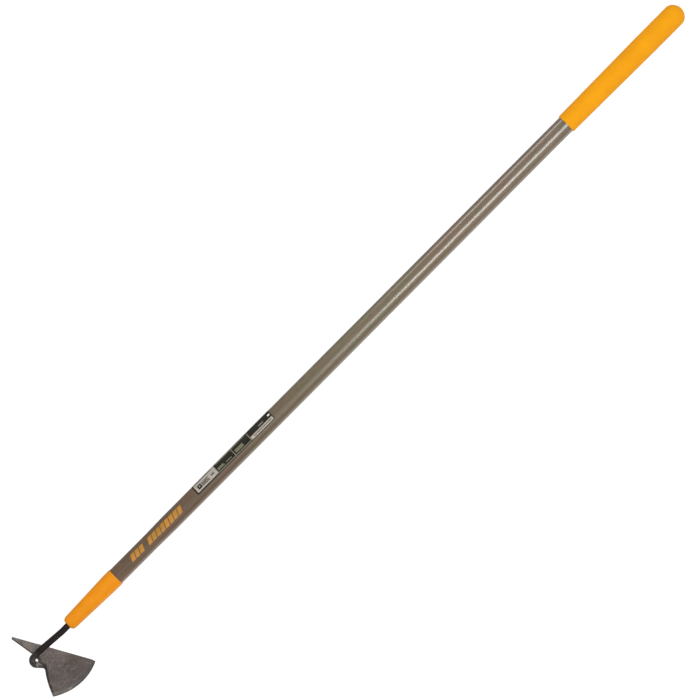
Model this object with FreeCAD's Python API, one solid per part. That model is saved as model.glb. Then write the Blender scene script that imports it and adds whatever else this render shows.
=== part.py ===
"""Grub hoe: a long straight wooden handle with a cushion grip at its free end, and at the other
end a tapered ferrule that holds a hooked steel neck with a spiked, fan-shaped blade.

Everything is first built about the handle's axis, with X = 0 at the ferrule's nose and +X towards
the grip, +Y towards the blade's spike and +Z up. The last step moves it all onto its row frame:
the hoe lies on a level surface, on the grip and on the blade's back edge.
"""
import FreeCAD, Part

import math
import os

from FreeCAD import Rotation, Vector

os.makedirs("parts", exist_ok=True)

# ---- driving dimensions, in millimetres and degrees ----

HANDLE_LENGTH = 1372.0          # a 54 in handle
HANDLE_RADIUS = 15.0            # along the main run
HANDLE_FOOT_RADIUS = 14.3       # 1 1/8 in across, behind the ferrule
FOOT_END = 190.0                # where the foot widens into the main run
MAIN_RUN_START = 230.0

FERRULE_LENGTH = 108.0
FERRULE_WALL = 0.9
FERRULE_COLLAR = 13.0           # straight stretch at the wooden end
FERRULE_NOSE_RADIUS = 12.1      # outside, where the nose starts to round over
FERRULE_NOSE_ROUND = 8.0        # length of the rounded nose
FERRULE_FACE_RADIUS = 7.0       # small flat around the neck
NOSE_THICKNESS = 4.0            # metal in front of the wood
WOOD_NOSE_STEP = 2.0            # slope round the wood's nose, inside the ferrule

NECK_RADIUS = 5.2
NECK_BEND_START = -13.0         # where the neck leaves the handle's axis
NECK_BEND_START_OFFSET = -0.8   # sideways, a little to the fan's side
NECK_BEND_END = -58.0           # where it runs parallel to the axis again
NECK_OFFSET = 2.8               # sideways, to the spike's side
NECK_RISE = 1.9                 # upwards, to pass over the blade's waist
NECK_BEND_RADIUS = 90.0
HOOK_START = -74.6              # where the hook begins to turn back
HOOK_RADIUS = 7.4               # to the rod's centre line
HOOK_TURN = 115.0
HOOK_TILT = 2.0                 # the hook dips a little towards the blade's lug
HOOK_TAIL = 0.5                 # straight end after the turn
ROD_START = 30.0                # inside the wood, where the rod becomes the tang
TANG_LENGTH = 62.0
TANG_TIP_RADIUS = 2.2

BLADE_THICKNESS = 4.0
BLADE_TILT = 32.0               # the plate rises from its back edge
BACK_EDGE_ANGLE = -60.97        # of the back edge to the handle's axis
SPIKE_TIP_X = -78.16            # of the back edge, at half the plate's thickness
SPIKE_TIP_Y = 49.54
SPIKE_TIP_WIDTH = 2.6
SPIKE_ANGLE = 22.0              # between the spike's two edges
CUTTING_RADIUS = 99.9

# The other corners of the plate's outline: along the back edge from the spike's tip, and away.
CUTTING_CENTRE = (38.6, -4.0)
FAN_HEEL_ALONG = 90.4           # where the fan's side meets the cutting edge
FAN_KNEE = (74.5, 59.2)         # the fan's side bulges a little
FAN_KNEE_RADIUS = 150.0
ROOT = (64.3, 36.2)             # between the fan's side and the lug that the neck is welded to
ROOT_FILLET = 4.5
LUG_LOW = (49.5, 41.0)
LUG_HIGH = (46.8, 32.8)
LUG_ROUND = 1.5
NOTCH = (54.0, 28.2)            # where the lug's upper edge and the spike's root would meet
NOTCH_FILLET = 3.4              # the rounded end of the notch between them
SPIKE_ROOT_ALONG = 42.0         # under the neck, where the spike's edge turns towards the notch
SPIKE_ROOT_FILLET = 3.0

BEVEL_WIDTH = 6.0
BEVEL_DEPTH = 3.2

GRIP_LENGTH = 259.5
GRIP_END_WALL = 5.0             # over the handle's end
WOOD_END_ROUND = 10.0           # the handle's end is rounded over inside the grip
WOOD_END_FACE = 7.0             # radius of the flat that is left
GRIP_MOUTH_RADIUS = 16.9
GRIP_RADIUS = 18.6
GRIP_STRAIGHT = 66.0            # cylindrical stretch behind the dome
GRIP_DOME = 16.5
GRIP_CORNER = 13.0              # radius where the dome's side turns over into its cap
GRIP_MOUTH_ROUND = 1.2

PIN_X = 62.0
PIN_RADIUS = 1.6
PIN_DEPTH = 23.0
PIN_HEAD_RADIUS = 3.4
PIN_HEAD_HEIGHT = 1.4
PIN_HEAD_EDGE_ROUND = 0.84
PIN_HEAD_GAP = 0.1              # between the head's flat seat and the tapered ferrule

LABEL_START = 293.0
LABEL_LENGTH = 172.0
LABEL_THICKNESS = 0.2
LABEL_FROM = -6.0               # round the handle, from straight up towards the spike's side
LABEL_SPAN = 176.0

CUTTER_MARGIN = 2.0             # how far a cutting shape runs past what it cuts

WELD_LUMPS = (                  # offset from the neck's end (X, Y, Z), and radius
    ((2.2, -2.5, 0.6), 5.2),
    ((4.4, -6.6, 1.2), 4.2),
    ((6.8, -10.2, 1.0), 3.4),
)

# ---- sizes that follow from them ----

WOOD_START = NOSE_THICKNESS
WOOD_END = WOOD_START + HANDLE_LENGTH
FERRULE_RADIUS = HANDLE_FOOT_RADIUS + FERRULE_WALL
TAPER_END = FERRULE_LENGTH - FERRULE_COLLAR
GRIP_END = WOOD_END + GRIP_END_WALL
GRIP_START = GRIP_END - GRIP_LENGTH
DOME_START = GRIP_END - GRIP_DOME
STRAIGHT_START = DOME_START - GRIP_STRAIGHT

X_AXIS = Vector(1, 0, 0)
Z_AXIS = Vector(0, 0, 1)
ORIGIN = Vector(0, 0, 0)


def turned(profile_edges):
    """A solid turned about the handle's axis from a closed profile in the XZ plane."""
    face = Part.Face(Part.Wire(profile_edges))
    return face.revolve(ORIGIN, X_AXIS, 360)


def line(start, end):
    return Part.LineSegment(start, end).toShape()


def at(x, radius):
    """A point of a turned profile."""
    return Vector(x, 0, radius)


def quarter_round(side_x, side_radius, face_x, face_radius):
    """The middle of a rounded-over end, between its side and its flat face."""
    half = math.sqrt(0.5)
    x = side_x + (face_x - side_x) * half
    radius = face_radius + (side_radius - face_radius) * half
    return at(x, radius)


def rounded_path(points, radii):
    """Straight runs through the points, joined by tangent arcs of the given radii."""
    edges = []
    run_start = points[0]
    for before, corner, after, radius in zip(points, points[1:], points[2:], radii):
        arriving = (corner - before).normalize()
        leaving = (after - corner).normalize()
        half_turn = arriving.getAngle(leaving) / 2
        cut_back = radius * math.tan(half_turn)
        arc_start = corner - arriving * cut_back
        arc_end = corner + leaving * cut_back
        inward = (leaving - arriving).normalize()
        centre = corner + inward * (radius / math.cos(half_turn))
        arc_middle = centre - inward * radius
        edges.append(line(run_start, arc_start))
        edges.append(Part.Arc(arc_start, arc_middle, arc_end).toShape())
        run_start = arc_end
    edges.append(line(run_start, points[-1]))
    return edges


def hook_point(turn):
    """A point of the hook's centre line, and its direction, after so many degrees of turn."""
    tilt = math.radians(HOOK_TILT)
    towards_spike = Vector(0, math.cos(tilt), math.sin(tilt))
    start = Vector(HOOK_START, NECK_OFFSET, NECK_RISE)
    centre = start - towards_spike * HOOK_RADIUS
    sine = math.sin(math.radians(turn))
    cosine = math.cos(math.radians(turn))
    point = centre + (towards_spike * cosine - X_AXIS * sine) * HOOK_RADIUS
    direction = -X_AXIS * cosine - towards_spike * sine
    return point, direction


def neck_end():
    """The middle of the neck's cut end, at the end of the blade's lug."""
    point, direction = hook_point(HOOK_TURN)
    return point + direction * HOOK_TAIL


def neck_rod():
    """The bent rod in front of the ferrule's nose."""
    hook_start = hook_point(0)[0]
    hook_middle = hook_point(HOOK_TURN / 2)[0]
    hook_end = hook_point(HOOK_TURN)[0]
    points = [
        Vector(ROD_START, 0, 0),
        Vector(NECK_BEND_START, NECK_BEND_START_OFFSET, 0),
        Vector(NECK_BEND_END, NECK_OFFSET, NECK_RISE),
        hook_start,
    ]
    edges = rounded_path(points, [NECK_BEND_RADIUS, NECK_BEND_RADIUS])
    edges.append(Part.Arc(hook_start, hook_middle, hook_end).toShape())
    edges.append(line(hook_end, neck_end()))
    section = Part.Wire(Part.makeCircle(NECK_RADIUS, points[0], points[1] - points[0]))
    pipe = Part.BRepOffsetAPI.MakePipeShell(Part.Wire(edges))
    pipe.add(section)
    pipe.build()
    pipe.makeSolid()
    return pipe.shape()


def neck():
    """The rod and its tapered tang, in one forging."""
    shoulder = Vector(ROD_START, 0, 0)
    first_bend = Vector(NECK_BEND_START, NECK_BEND_START_OFFSET, 0)
    tang = Part.makeCone(NECK_RADIUS, TANG_TIP_RADIUS, TANG_LENGTH, shoulder, shoulder - first_bend)
    return neck_rod().fuse(tang).removeSplitter()


def wood_blank():
    """The handle before it is bored: straight, tapered into the ferrule, rounded in the grip."""
    nose_end_radius = FERRULE_NOSE_RADIUS - FERRULE_WALL
    nose_face_radius = nose_end_radius - WOOD_NOSE_STEP
    taper_start = FERRULE_NOSE_ROUND
    round_start = WOOD_END - WOOD_END_ROUND
    round_middle = quarter_round(round_start, HANDLE_RADIUS, WOOD_END, WOOD_END_FACE)
    profile = [
        line(at(WOOD_START, 0), at(WOOD_START, nose_face_radius)),
        line(at(WOOD_START, nose_face_radius), at(taper_start, nose_end_radius)),
        line(at(taper_start, nose_end_radius), at(TAPER_END, HANDLE_FOOT_RADIUS)),
        line(at(TAPER_END, HANDLE_FOOT_RADIUS), at(FOOT_END, HANDLE_FOOT_RADIUS)),
        line(at(FOOT_END, HANDLE_FOOT_RADIUS), at(MAIN_RUN_START, HANDLE_RADIUS)),
        line(at(MAIN_RUN_START, HANDLE_RADIUS), at(round_start, HANDLE_RADIUS)),
        Part.Arc(at(round_start, HANDLE_RADIUS), round_middle, at(WOOD_END, WOOD_END_FACE)).toShape(),
        line(at(WOOD_END, WOOD_END_FACE), at(WOOD_END, 0)),
        line(at(WOOD_END, 0), at(WOOD_START, 0)),
    ]
    return turned(profile)


def ferrule_blank():
    """The ferrule's outer shape: collar, taper and rounded nose."""
    round_end = at(FERRULE_NOSE_ROUND, FERRULE_NOSE_RADIUS)
    face_edge = at(0, FERRULE_FACE_RADIUS)
    round_middle = quarter_round(FERRULE_NOSE_ROUND, FERRULE_NOSE_RADIUS, 0, FERRULE_FACE_RADIUS)
    profile = [
        line(at(0, 0), face_edge),
        Part.Arc(face_edge, round_middle, round_end).toShape(),
        line(round_end, at(TAPER_END, FERRULE_RADIUS)),
        line(at(TAPER_END, FERRULE_RADIUS), at(FERRULE_LENGTH, FERRULE_RADIUS)),
        line(at(FERRULE_LENGTH, FERRULE_RADIUS), at(FERRULE_LENGTH, 0)),
        line(at(FERRULE_LENGTH, 0), at(0, 0)),
    ]
    return turned(profile)


def ferrule_pin():
    """A rivet from the underside through the ferrule, the wood and the tang."""
    slope = (FERRULE_RADIUS - FERRULE_NOSE_RADIUS) / (TAPER_END - FERRULE_NOSE_ROUND)
    radius_there = FERRULE_RADIUS - slope * (TAPER_END - PIN_X)
    head_seat = -(radius_there + PIN_HEAD_GAP)
    shank = Part.makeCylinder(PIN_RADIUS, PIN_DEPTH, Vector(PIN_X, 0, head_seat), Z_AXIS)
    head = Part.makeCylinder(PIN_HEAD_RADIUS, PIN_HEAD_HEIGHT, Vector(PIN_X, 0, head_seat), -Z_AXIS)
    head = head.makeFillet(PIN_HEAD_EDGE_ROUND, [head.Edges[2]])
    return shank.fuse(head).removeSplitter()


def grip_dome():
    """The end of the grip's profile: a rounded corner that runs over into a shallow cap."""
    centre_radius = GRIP_RADIUS - GRIP_CORNER
    cap_radius = (GRIP_DOME ** 2 + centre_radius ** 2 - GRIP_CORNER ** 2) / (2 * (GRIP_DOME - GRIP_CORNER))
    corner_centre = at(DOME_START, centre_radius)
    cap_centre = at(GRIP_END - cap_radius, 0)
    outwards = (corner_centre - cap_centre).normalize()
    meeting = corner_centre + outwards * GRIP_CORNER
    corner_middle = corner_centre + (Z_AXIS + outwards).normalize() * GRIP_CORNER
    cap_middle = cap_centre + (X_AXIS + outwards).normalize() * cap_radius
    return [
        Part.Arc(at(DOME_START, GRIP_RADIUS), corner_middle, meeting).toShape(),
        Part.Arc(meeting, cap_middle, at(GRIP_END, 0)).toShape(),
    ]


def cushion_grip_blank():
    """The grip's outer shape: a flared sleeve, a cylindrical stretch and a blunt dome."""
    mouth_face = GRIP_MOUTH_RADIUS - GRIP_MOUTH_ROUND
    mouth_end = GRIP_START + GRIP_MOUTH_ROUND
    profile = [
        line(at(GRIP_START, 0), at(GRIP_START, mouth_face)),
        line(at(GRIP_START, mouth_face), at(mouth_end, GRIP_MOUTH_RADIUS)),
        line(at(mouth_end, GRIP_MOUTH_RADIUS), at(STRAIGHT_START, GRIP_RADIUS)),
        line(at(STRAIGHT_START, GRIP_RADIUS), at(DOME_START, GRIP_RADIUS)),
        *grip_dome(),
        line(at(GRIP_END, 0), at(GRIP_START, 0)),
    ]
    return turned(profile)


def label():
    """A thin sticker wrapped round the handle's upper side, towards the spike."""
    outside = HANDLE_RADIUS + LABEL_THICKNESS
    profile = [
        line(at(LABEL_START, HANDLE_RADIUS), at(LABEL_START, outside)),
        line(at(LABEL_START, outside), at(LABEL_START + LABEL_LENGTH, outside)),
        line(at(LABEL_START + LABEL_LENGTH, outside), at(LABEL_START + LABEL_LENGTH, HANDLE_RADIUS)),
        line(at(LABEL_START + LABEL_LENGTH, HANDLE_RADIUS), at(LABEL_START, HANDLE_RADIUS)),
    ]
    face = Part.Face(Part.Wire(profile))
    face.rotate(ORIGIN, X_AXIS, -LABEL_FROM)
    return face.revolve(ORIGIN, X_AXIS, -LABEL_SPAN)


def blade():
    """The flat plate: spike, notch, lug and fan, with its cutting edge ground from the upper face."""
    centre_along, centre_away = CUTTING_CENTRE
    corner_along = centre_along + math.sqrt(CUTTING_RADIUS ** 2 - centre_away ** 2)
    heel_away = centre_away + math.sqrt(CUTTING_RADIUS ** 2 - (FAN_HEEL_ALONG - centre_along) ** 2)
    corner_turn = math.atan2(-centre_away, corner_along - centre_along)
    heel_turn = math.atan2(heel_away - centre_away, FAN_HEEL_ALONG - centre_along)
    middle_turn = (corner_turn + heel_turn) / 2

    sharp_tip = Vector(0, 0, 0)
    blunt_tip = Vector(0, SPIKE_TIP_WIDTH, 0)
    corner = Vector(corner_along, 0, 0)
    heel = Vector(FAN_HEEL_ALONG, heel_away, 0)
    middle = Vector(
        centre_along + CUTTING_RADIUS * math.cos(middle_turn),
        centre_away + CUTTING_RADIUS * math.sin(middle_turn),
        0,
    )
    spike_root_away = SPIKE_TIP_WIDTH + SPIKE_ROOT_ALONG * math.tan(math.radians(SPIKE_ANGLE))
    fixed = (FAN_KNEE, ROOT, LUG_LOW, LUG_HIGH, NOTCH, (SPIKE_ROOT_ALONG, spike_root_away))
    corners = [heel] + [Vector(*place, 0) for place in fixed] + [blunt_tip]
    radii = [FAN_KNEE_RADIUS, ROOT_FILLET, LUG_ROUND, LUG_ROUND, NOTCH_FILLET, SPIKE_ROOT_FILLET]
    edges = [line(sharp_tip, corner), Part.Arc(corner, middle, heel).toShape()]
    edges += rounded_path(corners, radii)
    edges.append(line(blunt_tip, sharp_tip))
    plate = Part.Face(Part.Wire(edges)).extrude(Z_AXIS * BLADE_THICKNESS)
    return place_plate(plate.cut(bevel_cutter(centre_along, centre_away)))


def bevel_cutter(centre_along, centre_away):
    """A ring about the cutting edge's centre, with the bevel's slope on its underside."""
    inside = CUTTING_RADIUS - BEVEL_WIDTH
    outside = CUTTING_RADIUS + CUTTER_MARGIN
    lowest = BEVEL_DEPTH * (outside - inside) / BEVEL_WIDTH
    section = [
        Vector(inside, 0, 0),
        Vector(outside, 0, lowest),
        Vector(outside, 0, -CUTTER_MARGIN),
        Vector(inside, 0, -CUTTER_MARGIN),
        Vector(inside, 0, 0),
    ]
    ring = Part.Face(Part.makePolygon(section)).revolve(ORIGIN, Z_AXIS, 360)
    ring.translate(Vector(centre_along, centre_away, 0))
    return ring


def place_plate(plate):
    """From the plate's own axes (along its back edge, away from it, down) to the handle's."""
    tilt = math.radians(BLADE_TILT)
    turn = math.radians(BACK_EDGE_ANGLE)
    along = Vector(math.cos(turn), math.sin(turn), 0)
    level_away = Vector(math.sin(turn), -math.cos(turn), 0)
    away = level_away * math.cos(tilt) + Z_AXIS * math.sin(tilt)
    down = along.cross(away)
    spike_tip = Vector(SPIKE_TIP_X, SPIKE_TIP_Y, -GRIP_RADIUS) - down * BLADE_THICKNESS
    spike_tip = spike_tip + Vector(down.x, down.y, 0) * (BLADE_THICKNESS / 2)
    plate.Placement = FreeCAD.Placement(spike_tip, Rotation(along, away, down, "XYZ"))
    return plate


def weld_bead(plate, whole_neck):
    """Lumps of weld metal that join the neck's end to the blade's lug, and run along its side."""
    lumps = []
    for offset, radius in WELD_LUMPS:
        lump = Part.makeSphere(radius, neck_end() + Vector(*offset))
        lumps.append(lump.cut(plate).cut(whole_neck))
    bead = lumps[0].fuse(lumps[1:]).removeSplitter()
    return max(bead.Solids, key=lambda solid: solid.Volume)


def build_nodes():
    """Every piece about the handle's axis, cut where a neighbour seats in it."""
    pin = ferrule_pin()
    plate = blade()
    wood = wood_blank()
    whole_neck = neck()
    seated_neck = whole_neck.cut(plate).cut(pin)
    return {
        "blade": plate,
        "neck": seated_neck,
        "weld_bead": weld_bead(plate, whole_neck),
        "ferrule": ferrule_blank().cut(wood).cut(whole_neck).cut(pin),
        "ferrule_pin": pin,
        "handle_shaft": wood.cut(whole_neck).cut(pin),
        "cushion_grip": cushion_grip_blank().cut(wood),
        "label": label(),
    }


def to_row_frame(nodes):
    """Origin under the middle of the hoe's box, on the surface that it lies on."""
    box = Part.makeCompound(list(nodes.values())).optimalBoundingBox(False, False)
    shift = Vector(-box.Center.x, -box.Center.y, GRIP_RADIUS)
    for shape in nodes.values():
        shape.translate(shift)
    return shift


nodes = build_nodes()
shift = to_row_frame(nodes)
for name, shape in nodes.items():
    shape.exportStep(f"parts/{name}.step")
    print(f"{name}: {len(shape.Solids)} solid, valid {shape.isValid()}, {shape.Volume / 1000:.2f} cm3")
grip_middle = (STRAIGHT_START + DOME_START) / 2
print(f"grip's cylinder: middle at x {grip_middle + shift.x:.2f}, y {shift.y:.2f}, z {shift.z:.2f} mm")
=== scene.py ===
"""A grub hoe lying on a white floor: the looks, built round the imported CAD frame. Units are metres.

Every piece is laid out about the handle's axis, with x from the ferrule's nose towards the grip,
y towards the blade's spike and z up, and then placed where the frame says that this axis lies.
"""

import math
import random

import bmesh
import bpy
from mathutils import Matrix, Vector, noise


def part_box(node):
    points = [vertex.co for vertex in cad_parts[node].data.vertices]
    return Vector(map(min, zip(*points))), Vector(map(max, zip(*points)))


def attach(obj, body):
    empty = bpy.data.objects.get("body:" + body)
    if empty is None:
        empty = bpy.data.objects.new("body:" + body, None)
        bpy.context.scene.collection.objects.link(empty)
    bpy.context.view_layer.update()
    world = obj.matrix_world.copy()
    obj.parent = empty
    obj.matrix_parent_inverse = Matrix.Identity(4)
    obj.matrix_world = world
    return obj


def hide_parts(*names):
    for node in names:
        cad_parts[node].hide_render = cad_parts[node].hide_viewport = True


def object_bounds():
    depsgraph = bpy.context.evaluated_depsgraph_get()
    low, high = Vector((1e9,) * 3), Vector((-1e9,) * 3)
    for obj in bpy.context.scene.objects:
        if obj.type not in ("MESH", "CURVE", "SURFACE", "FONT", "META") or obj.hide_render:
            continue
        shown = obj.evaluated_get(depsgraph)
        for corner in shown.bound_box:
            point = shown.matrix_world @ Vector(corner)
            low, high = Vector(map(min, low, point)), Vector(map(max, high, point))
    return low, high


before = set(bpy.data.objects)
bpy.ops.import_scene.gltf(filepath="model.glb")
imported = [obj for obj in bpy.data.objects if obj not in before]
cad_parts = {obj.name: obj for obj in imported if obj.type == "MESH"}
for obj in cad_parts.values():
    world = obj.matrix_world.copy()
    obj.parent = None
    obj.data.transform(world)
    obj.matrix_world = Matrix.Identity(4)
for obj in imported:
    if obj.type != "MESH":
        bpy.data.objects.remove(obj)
cad_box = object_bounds()

# ---- sizes, the same as the CAD model's ----

MM = 0.001

HANDLE_RADIUS = 15.0 * MM
HANDLE_FOOT_RADIUS = 14.3 * MM
FOOT_END = 190.0 * MM
MAIN_RUN_START = 230.0 * MM
WOOD_START = 4.0 * MM
WOOD_END = 1376.0 * MM
WOOD_END_ROUND = 10.0 * MM
WOOD_END_FACE = 7.0 * MM
WOOD_NOSE_STEP = 2.0 * MM

FERRULE_LENGTH = 108.0 * MM
FERRULE_WALL = 0.9 * MM
FERRULE_RADIUS = HANDLE_FOOT_RADIUS + FERRULE_WALL
FERRULE_TAPER_END = 95.0 * MM
FERRULE_NOSE_RADIUS = 12.1 * MM
FERRULE_NOSE_ROUND = 8.0 * MM
FERRULE_FACE_RADIUS = 7.0 * MM

NECK_RADIUS = 5.2 * MM
NECK_BEND_RADIUS = 90.0 * MM
ROD_START = Vector((30.0, 0.0, 0.0)) * MM
NECK_BENDS = (Vector((-13.0, -0.8, 0.0)) * MM, Vector((-58.0, 2.8, 1.9)) * MM)
HOOK_START = Vector((-74.6, 2.8, 1.9)) * MM
HOOK_RADIUS = 7.4 * MM
HOOK_TURN = math.radians(115.0)
HOOK_TILT = math.radians(2.0)
HOOK_TAIL = 0.5 * MM
HOOK_CENTRE = HOOK_START - Vector((0, math.cos(HOOK_TILT), math.sin(HOOK_TILT))) * HOOK_RADIUS
TANG_LENGTH = 62.0 * MM
TANG_TIP_RADIUS = 2.2 * MM

BLADE_TILT = math.radians(32.0)
BACK_EDGE_ANGLE = math.radians(-60.97)
SPIKE_TIP = Vector((-78.16, 49.54, 0.0)) * MM
CUTTING_RADIUS = 99.9 * MM
CUTTING_CENTRE_ALONG = 38.6 * MM
CUTTING_CENTRE_AWAY = -4.0 * MM
BEVEL_WIDTH = 6.0 * MM
ROOT = (64.3 * MM, 36.2 * MM)               # corners of the plate: along its back edge, and away
FAN_KNEE = (74.5 * MM, 59.2 * MM)
FAN_HEEL = (90.4 * MM, 81.4 * MM)

GRIP_START = 1121.5 * MM
GRIP_END = 1381.0 * MM
GRIP_MOUTH_RADIUS = 16.9 * MM
GRIP_MOUTH_ROUND = 1.2 * MM
GRIP_RADIUS = 18.6 * MM
GRIP_STRAIGHT_START = 1298.5 * MM
GRIP_DOME_START = 1364.5 * MM
GRIP_CORNER = 13.0 * MM

WELD_LUMPS = (                  # offset from the neck's end, and radius, 0.1 mm under the CAD model's
    (Vector((2.2, -2.5, 0.6)) * MM, 5.1 * MM),
    (Vector((4.4, -6.6, 1.2)) * MM, 4.1 * MM),
    (Vector((6.8, -10.2, 1.0)) * MM, 3.3 * MM),
)

LABEL_START = 293.0 * MM
LABEL_LENGTH = 172.0 * MM
LABEL_THICKNESS = 0.2 * MM
LABEL_FROM = math.radians(-6.0)
LABEL_SPAN = math.radians(176.0)

# ---- where the handle's axis lies, from the frame ----

ferrule_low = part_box("ferrule")[0]
grip_low, grip_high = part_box("cushion_grip")
AXIS = Vector((ferrule_low.x, (grip_low.y + grip_high.y) / 2, (grip_low.z + grip_high.z) / 2))

ALONG = Vector((math.cos(BACK_EDGE_ANGLE), math.sin(BACK_EDGE_ANGLE), 0))
LEVEL_AWAY = Vector((math.sin(BACK_EDGE_ANGLE), -math.cos(BACK_EDGE_ANGLE), 0))
AWAY = LEVEL_AWAY * math.cos(BLADE_TILT) + Vector((0, 0, math.sin(BLADE_TILT)))
PLATE_UP = AWAY.cross(ALONG)
BACK_EDGE = Vector((AXIS.x + SPIKE_TIP.x, AXIS.y + SPIKE_TIP.y, 0))

# ---- how finely the meshes are made ----

AROUND = 96
ROD_AROUND = 40
LATHE_STEP = 3 * MM
GRID_STEP = 3 * MM
ROD_STEP = 2 * MM
SHARP_ANGLE = math.radians(35)
CREASE_ANGLE = math.radians(20)  # the blade's edges that turn by more than this are softened
MERGED = 0.01 * MM              # points closer than this are one
SIDE_SHARE = 0.5                # blade faces that point out of its plane by less than this are its sides


def on_axis(x, y, z):
    """From the handle's own coordinates to the row frame."""
    return AXIS + Vector((x, y, z))


def on_plate(along, away):
    """From the blade's own plane to the row frame."""
    return BACK_EDGE + ALONG * along + AWAY * away


def linear(red, green, blue):
    """A colour given in the usual 0 to 255 steps, as the linear values that shaders take."""
    values = []
    for step in (red, green, blue):
        share = step / 255
        values.append(share / 12.92 if share < 0.04045 else ((share + 0.055) / 1.055) ** 2.4)
    return (*values, 1.0)


# ---- shader building ----

class Finish:
    """One material: a Principled shader, and short calls that add its nodes."""

    def __init__(self, name, **constants):
        self.material = bpy.data.materials.new(name)
        self.material.use_nodes = True
        self.nodes = self.material.node_tree.nodes
        self.links = self.material.node_tree.links
        self.nodes.clear()
        output = self.nodes.new("ShaderNodeOutputMaterial")
        self.shader = self.nodes.new("ShaderNodeBsdfPrincipled")
        self.links.new(self.shader.outputs["BSDF"], output.inputs["Surface"])
        for socket, value in constants.items():
            self.shader.inputs[socket.replace("_", " ")].default_value = value
        place = self.nodes.new("ShaderNodeTexCoord")
        shift = self.nodes.new("ShaderNodeVectorMath")
        shift.operation = "SUBTRACT"
        self.links.new(place.outputs["Object"], shift.inputs[0])
        shift.inputs[1].default_value = AXIS
        self.here = shift.outputs["Vector"]

    def feed(self, socket, value):
        """A number, colour or another node's output, into an input."""
        if isinstance(value, bpy.types.NodeSocket):
            self.links.new(value, socket)
        else:
            socket.default_value = value

    def math(self, operation, first, second=0.0, third=0.0):
        """One step of arithmetic."""
        node = self.nodes.new("ShaderNodeMath")
        node.operation = operation
        for socket, value in zip(node.inputs, (first, second, third)):
            self.feed(socket, value)
        return node.outputs["Value"]

    def reach(self, first, second):
        """The length of an arrow with these two parts."""
        square = self.math("MULTIPLY", first, first)
        square = self.math("MULTIPLY_ADD", second, second, square)
        return self.math("SQRT", square)

    def part(self, letter):
        """X, Y or Z in the handle's own coordinates."""
        node = self.nodes.new("ShaderNodeSeparateXYZ")
        self.links.new(self.here, node.inputs["Vector"])
        return node.outputs[letter]

    def along(self, direction, start):
        """How far a point is from start, in that direction of the row frame."""
        node = self.nodes.new("ShaderNodeVectorMath")
        node.operation = "DOT_PRODUCT"
        self.links.new(self.here, node.inputs[0])
        node.inputs[1].default_value = direction
        return self.math("SUBTRACT", node.outputs["Value"], (start - AXIS).dot(direction))

    def noise(self, scale, stretch=(1, 1, 1), detail=3.0, roughness=0.55, distortion=0.0, seed=0.0):
        """Noise from 0 to 1, with so many waves to the metre, stretched by a factor in each direction."""
        mapping = self.nodes.new("ShaderNodeMapping")
        self.links.new(self.here, mapping.inputs["Vector"])
        mapping.inputs["Location"].default_value = (seed, seed, seed)
        mapping.inputs["Scale"].default_value = [scale / part for part in stretch]
        node = self.nodes.new("ShaderNodeTexNoise")
        self.links.new(mapping.outputs["Vector"], node.inputs["Vector"])
        node.inputs["Scale"].default_value = 1.0
        node.inputs["Detail"].default_value = detail
        node.inputs["Roughness"].default_value = roughness
        node.inputs["Distortion"].default_value = distortion
        return node.outputs["Fac"]

    def spread(self, value, low, high, to_low=0.0, to_high=1.0):
        """A value from low to high, as one from to_low to to_high, clamped at both."""
        node = self.nodes.new("ShaderNodeMapRange")
        for socket, entry in zip(("Value", "From Min", "From Max"), (value, low, high)):
            self.feed(node.inputs[socket], entry)
        node.inputs["To Min"].default_value = to_low
        node.inputs["To Max"].default_value = to_high
        return node.outputs["Result"]

    def inside(self, value, low, high, soft):
        """1 between low and high, falling to 0 over a short distance outside."""
        rises = self.spread(value, low - soft, low)
        falls = self.spread(value, high, high + soft, 1.0, 0.0)
        return self.math("MULTIPLY", rises, falls)

    def ramp(self, value, stops):
        """A colour from a value, between stops of (place, colour)."""
        node = self.nodes.new("ShaderNodeValToRGB")
        self.feed(node.inputs["Fac"], value)
        elements = node.color_ramp.elements
        elements[0].position, elements[0].color = stops[0]
        elements[1].position, elements[1].color = stops[-1]
        for place, colour in stops[1:-1]:
            elements.new(place).color = colour
        return node.outputs["Color"]

    def mix(self, share, first, second, blend="MIX"):
        """The first colour, with a share of the second over it."""
        node = self.nodes.new("ShaderNodeMix")
        node.data_type = "RGBA"
        node.blend_type = blend
        self.feed(node.inputs[0], share)
        self.feed(node.inputs[6], first)
        self.feed(node.inputs[7], second)
        return node.outputs[2]

    def bump(self, height, distance, strength=1.0, below=None):
        """A normal that is tipped by a height from 0 to 1, for that distance, on top of another."""
        node = self.nodes.new("ShaderNodeBump")
        node.inputs["Strength"].default_value = strength
        node.inputs["Distance"].default_value = distance
        self.feed(node.inputs["Height"], height)
        if below is not None:
            self.links.new(below, node.inputs["Normal"])
        return node.outputs["Normal"]

    def use(self, **sockets):
        """Feeds the shader's inputs, and hands back the material."""
        for socket, value in sockets.items():
            self.feed(self.shader.inputs[socket.replace("_", " ")], value)
        return self.material


# ---- finishes ----

# The bars printed on the wood.
PRINT_START = 146 * MM
PRINT_END = 259 * MM
PRINT_MIDDLE = 3.2 * MM         # round the handle, from straight up towards the spike's side
PRINT_HEIGHT = 12.0 * MM
PRINT_PITCH = 9.5 * MM
PRINT_SLANT = 0.42
PRINT_GAP_AT = 3                # this bar is left out
BAR_FROM, BAR_TO, BAR_SOFT = 0.08, 0.80, 0.10       # shares of the pitch

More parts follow.
